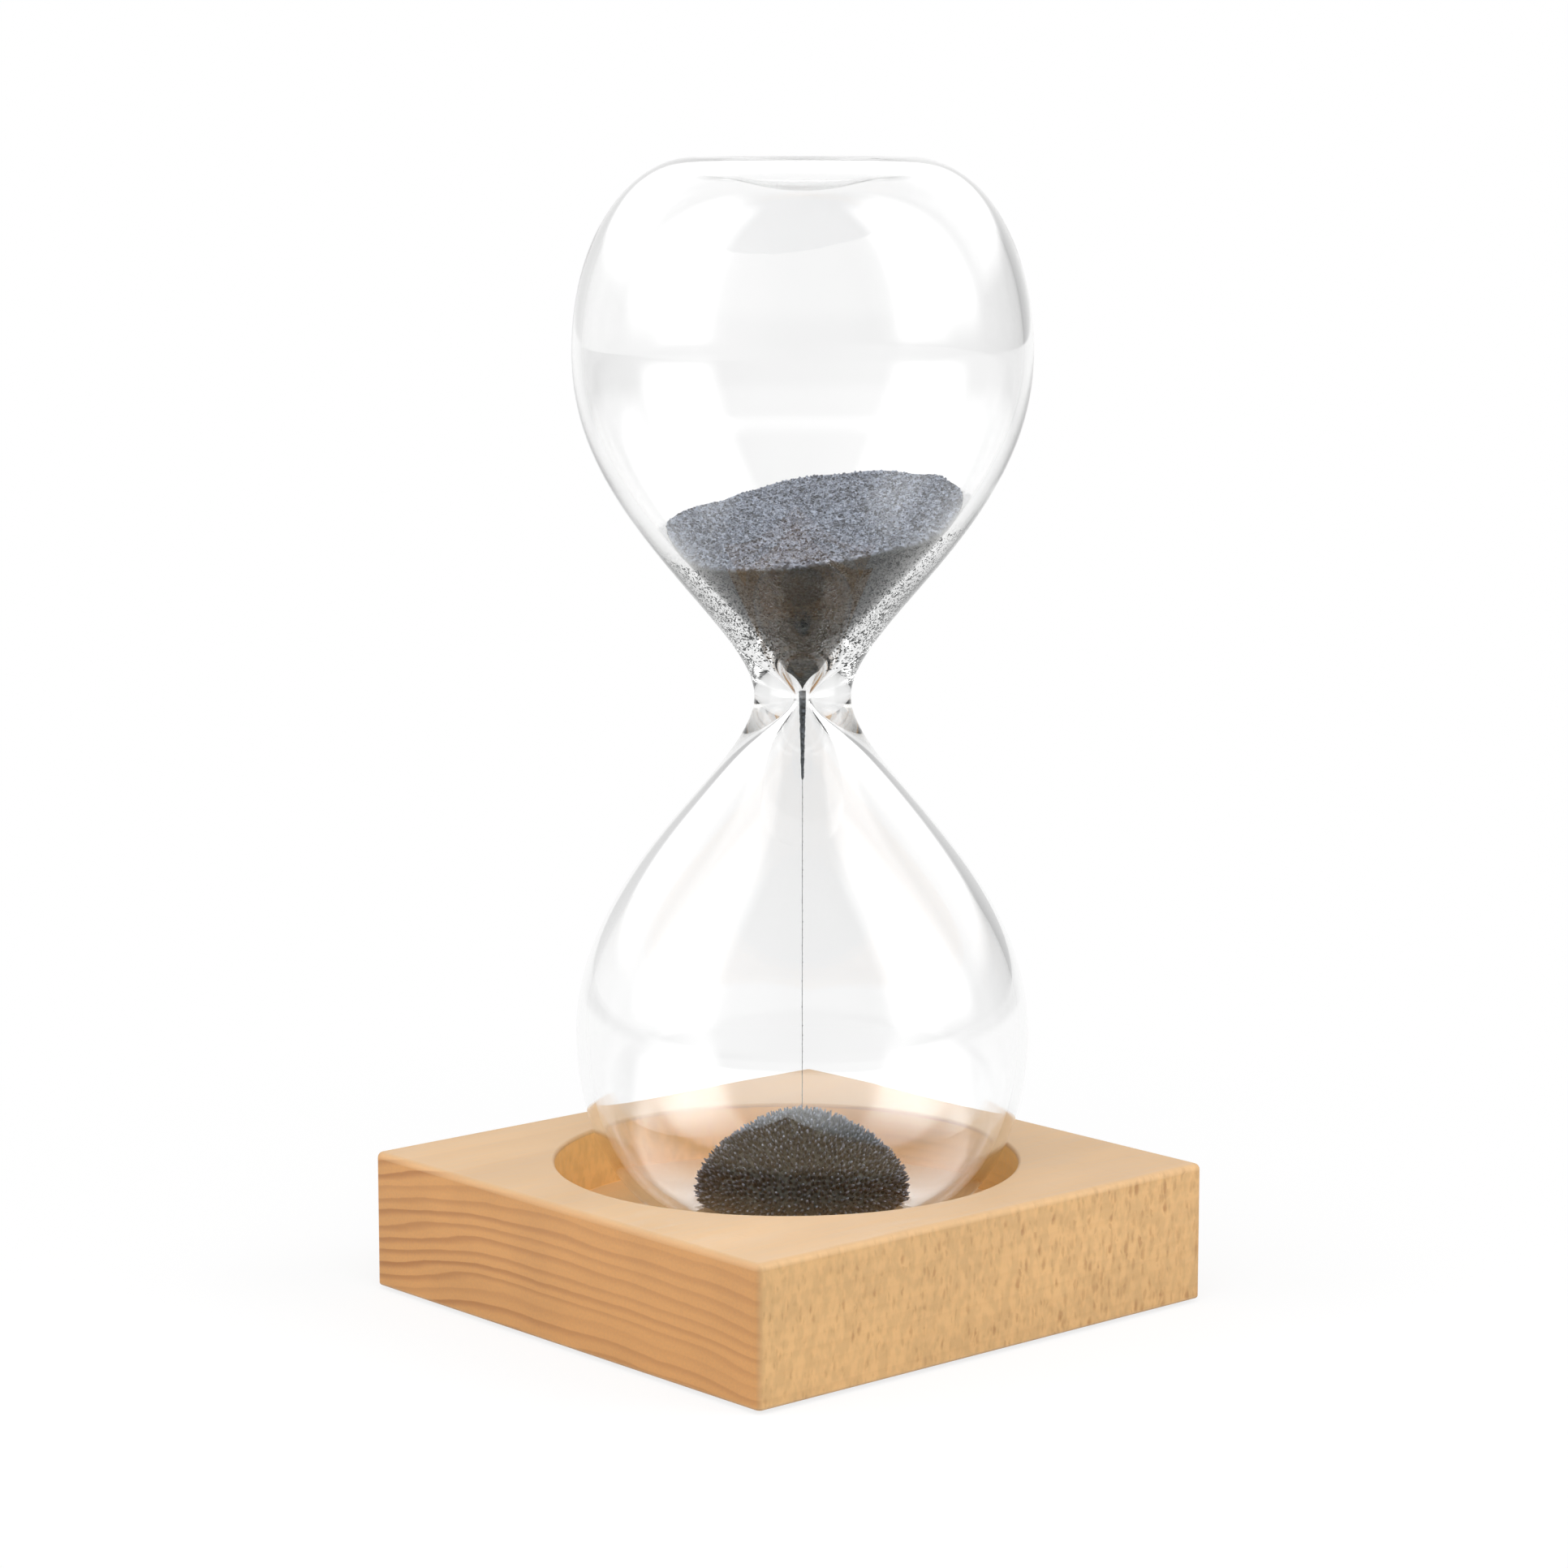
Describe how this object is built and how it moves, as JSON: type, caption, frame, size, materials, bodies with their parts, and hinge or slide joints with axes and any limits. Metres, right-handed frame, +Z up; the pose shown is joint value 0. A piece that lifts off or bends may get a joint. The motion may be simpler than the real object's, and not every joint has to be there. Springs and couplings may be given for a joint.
{
  "type": "magnetic hourglass",
  "caption": "Clear blown-glass sand timer standing loose in the round recess of a square beech block, whose hidden magnet draws the fallen iron filings into a spiky dome.",
  "frame": {"origin": "under the middle of the block, on the surface that the felt pad stands on", "axes": "+Z up through the glass; X and Y square to the sides of the block; the picture looks at the corner between the +X and -Y sides"},
  "size_m": [0.085, 0.085, 0.1643],
  "materials": {
    "beech": "satin clear lacquer over planed beech",
    "ferrite": "ground hard ferrite",
    "glue": "set clear adhesive",
    "felt": "dark pressed felt",
    "clear_glass": "clear blown glass, polished by the flame",
    "iron_filings": null
  },
  "bodies": {
    "base": {"base_block": "beech", "magnet": "ferrite", "magnet_glue": "glue", "felt_pad": "felt"},
    "glass": {"upper_bulb": "clear_glass", "lower_bulb": "clear_glass", "seal_tip": "clear_glass", "upper_filings": "iron_filings", "filings_stream": "iron_filings", "lower_filings": "iron_filings"}
  },
  "joints": [
    {"name": "glass_lift", "type": "slide", "parent": "base", "child": "glass", "axis": [0, 0, 1], "range_m": [0, 0.1]}
  ]
}
